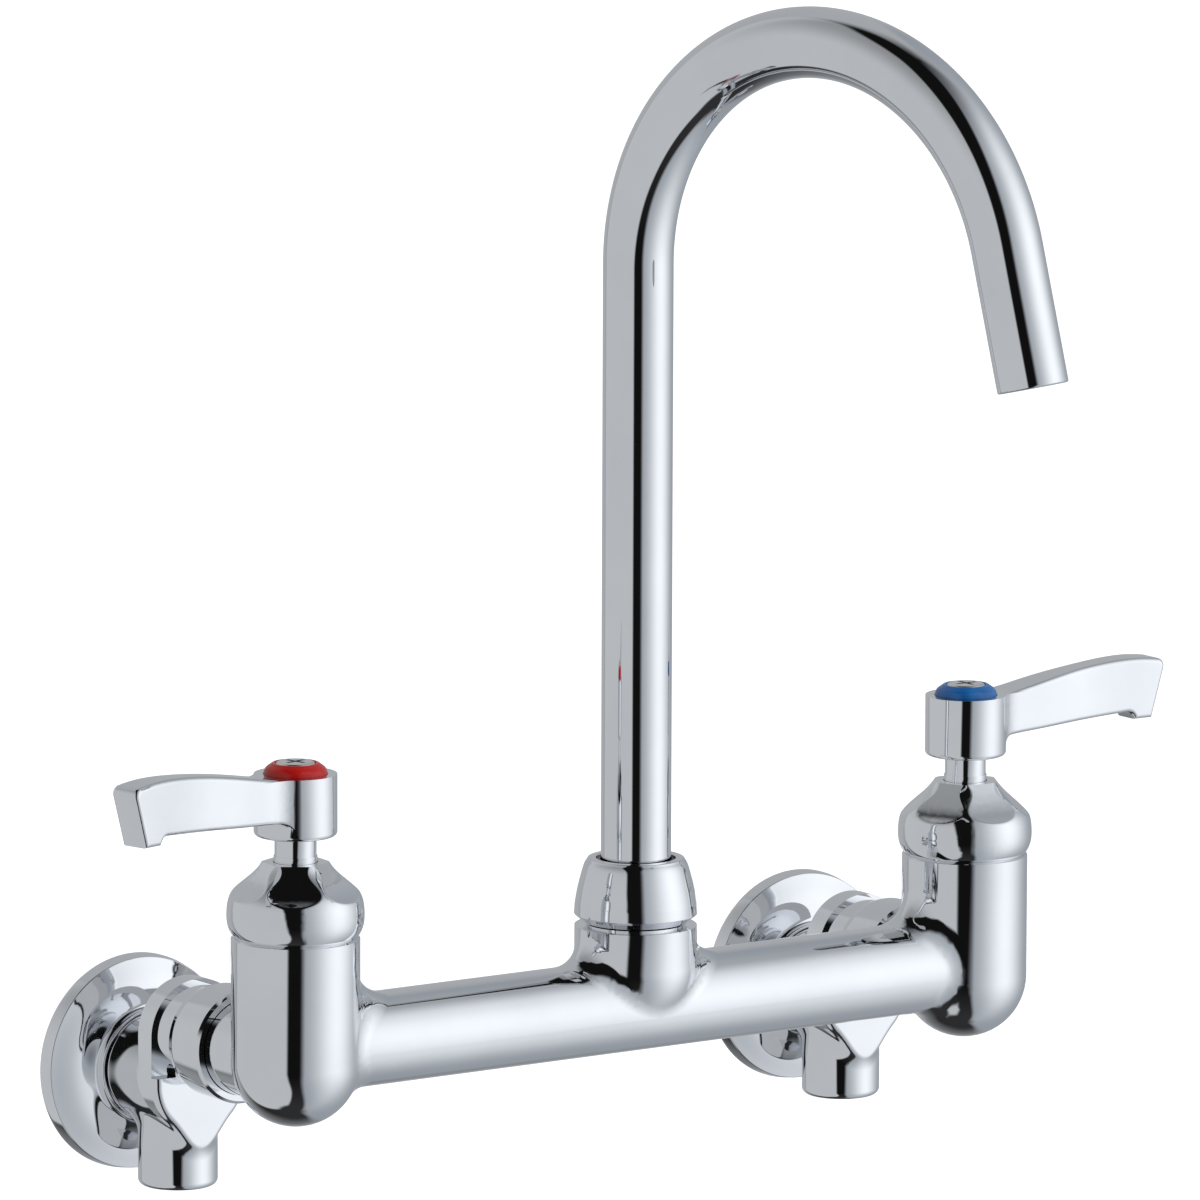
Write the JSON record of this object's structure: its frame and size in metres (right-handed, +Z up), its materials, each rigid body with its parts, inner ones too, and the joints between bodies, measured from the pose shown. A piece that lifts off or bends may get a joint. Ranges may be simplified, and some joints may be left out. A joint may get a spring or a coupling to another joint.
{
  "type": "wall-mounted gooseneck faucet",
  "caption": "Chrome two-handle wall faucet with a horizontal bar, a tall swivelling gooseneck tube, lever handles on quarter-turn valves and offset supply stops with wall flanges.",
  "frame": {"origin": "midway between the two supply inlets, on the wall plane that the flanges rest against", "axes": "+X along the bar towards the cold side, +Y into the wall, +Z up"},
  "size_m": [0.3222, 0.2047, 0.2982],
  "materials": {
    "polished_chrome": "polished chrome plate over cast and drawn brass",
    "plated_brass": "turned brass with bright nickel and chrome plate",
    "plain_brass": "turned brass with fine lathe rings",
    "screw_steel": "bright stainless screw head",
    "spring_steel": "drawn stainless spring wire",
    "hot_red_plastic": "moulded red plastic, semi-gloss",
    "cold_blue_plastic": "moulded blue plastic, semi-gloss",
    "white_ceramic": "lapped alumina ceramic",
    "black_rubber": "moulded nitrile rubber",
    "white_washer_plastic": "low-friction white washer plastic",
    "insert_plastic": "moulded grey plastic"
  },
  "bodies": {
    "faucet": {"faucet_body": "polished_chrome", "spout_nut": "polished_chrome", "spout_bearing_washer": "white_washer_plastic", "hot_bonnet": "polished_chrome", "cold_bonnet": "polished_chrome", "hot_cartridge_housing": "plated_brass", "cold_cartridge_housing": "plated_brass", "hot_housing_gasket": "white_washer_plastic", "cold_housing_gasket": "white_washer_plastic", "hot_fixed_disc": "white_ceramic", "cold_fixed_disc": "white_ceramic", "hot_seat_seal": "black_rubber", "cold_seat_seal": "black_rubber", "hot_coupling_nut": "polished_chrome", "cold_coupling_nut": "polished_chrome", "hot_tail_ring": "spring_steel", "cold_tail_ring": "spring_steel", "hot_coupling_washer": "black_rubber", "cold_coupling_washer": "black_rubber", "hot_stop_body": "polished_chrome", "cold_stop_body": "polished_chrome", "hot_stop_gland": "plated_brass", "cold_stop_gland": "plated_brass", "hot_wall_flange": "polished_chrome", "cold_wall_flange": "polished_chrome"},
    "spout": {"gooseneck_tube": "polished_chrome", "flow_straightener": "insert_plastic", "spout_collar": "plain_brass", "spout_thrust_washer": "white_washer_plastic", "spout_seal_lower": "black_rubber", "spout_seal_upper": "black_rubber"},
    "hot_handle": {"hot_lever": "polished_chrome", "hot_index_ring": "hot_red_plastic", "hot_handle_screw": "screw_steel", "hot_stem": "plain_brass", "hot_moving_disc": "white_ceramic", "hot_stem_thrust_washer": "white_washer_plastic", "hot_stem_seal": "black_rubber"},
    "hot_stop_plunger": {"hot_stop_washer": "black_rubber", "hot_stop_washer_cup": "plain_brass"},
    "hot_stop_screw": {"hot_stop_spindle": "plain_brass", "hot_stop_spindle_seal": "black_rubber"},
    "cold_handle": {"cold_lever": "polished_chrome", "cold_index_ring": "cold_blue_plastic", "cold_handle_screw": "screw_steel", "cold_stem": "plain_brass", "cold_moving_disc": "white_ceramic", "cold_stem_thrust_washer": "white_washer_plastic", "cold_stem_seal": "black_rubber"},
    "cold_stop_plunger": {"cold_stop_washer": "black_rubber", "cold_stop_washer_cup": "plain_brass"},
    "cold_stop_screw": {"cold_stop_spindle": "plain_brass", "cold_stop_spindle_seal": "black_rubber"}
  },
  "joints": [
    {"name": "spout_swivel", "type": "hinge", "parent": "faucet", "child": "spout", "pos_m": [0, -0.0739, 0.05], "axis": [0, 0, 1], "range_deg": [-114.1, 85.9]},
    {"name": "hot_lever_turn", "type": "hinge", "parent": "faucet", "child": "hot_handle", "pos_m": [-0.1016, -0.0739, 0.07], "axis": [0, 0, 1], "range_deg": [0, 90]},
    {"name": "hot_stop_slide", "type": "slide", "parent": "faucet", "child": "hot_stop_plunger", "axis": [0, 0, 1], "range_m": [0, 0.0048]},
    {"name": "hot_stop_screw_turn", "type": "hinge", "parent": "hot_stop_plunger", "child": "hot_stop_screw", "pos_m": [-0.1016, -0.0209, -0.01], "axis": [0, 0, 1], "range_deg": [0, 1080]},
    {"name": "cold_lever_turn", "type": "hinge", "parent": "faucet", "child": "cold_handle", "pos_m": [0.1016, -0.0739, 0.07], "axis": [0, 0, 1], "range_deg": [-90, 0]},
    {"name": "cold_stop_slide", "type": "slide", "parent": "faucet", "child": "cold_stop_plunger", "axis": [0, 0, 1], "range_m": [0, 0.0048]},
    {"name": "cold_stop_screw_turn", "type": "hinge", "parent": "cold_stop_plunger", "child": "cold_stop_screw", "pos_m": [0.1016, -0.0209, -0.01], "axis": [0, 0, 1], "range_deg": [0, 1080]}
  ],
  "couplings": [
    {"joint": "hot_stop_screw_turn", "follows": "hot_stop_slide", "rad_per_m": 3927},
    {"joint": "cold_stop_screw_turn", "follows": "cold_stop_slide", "rad_per_m": 3927}
  ]
}
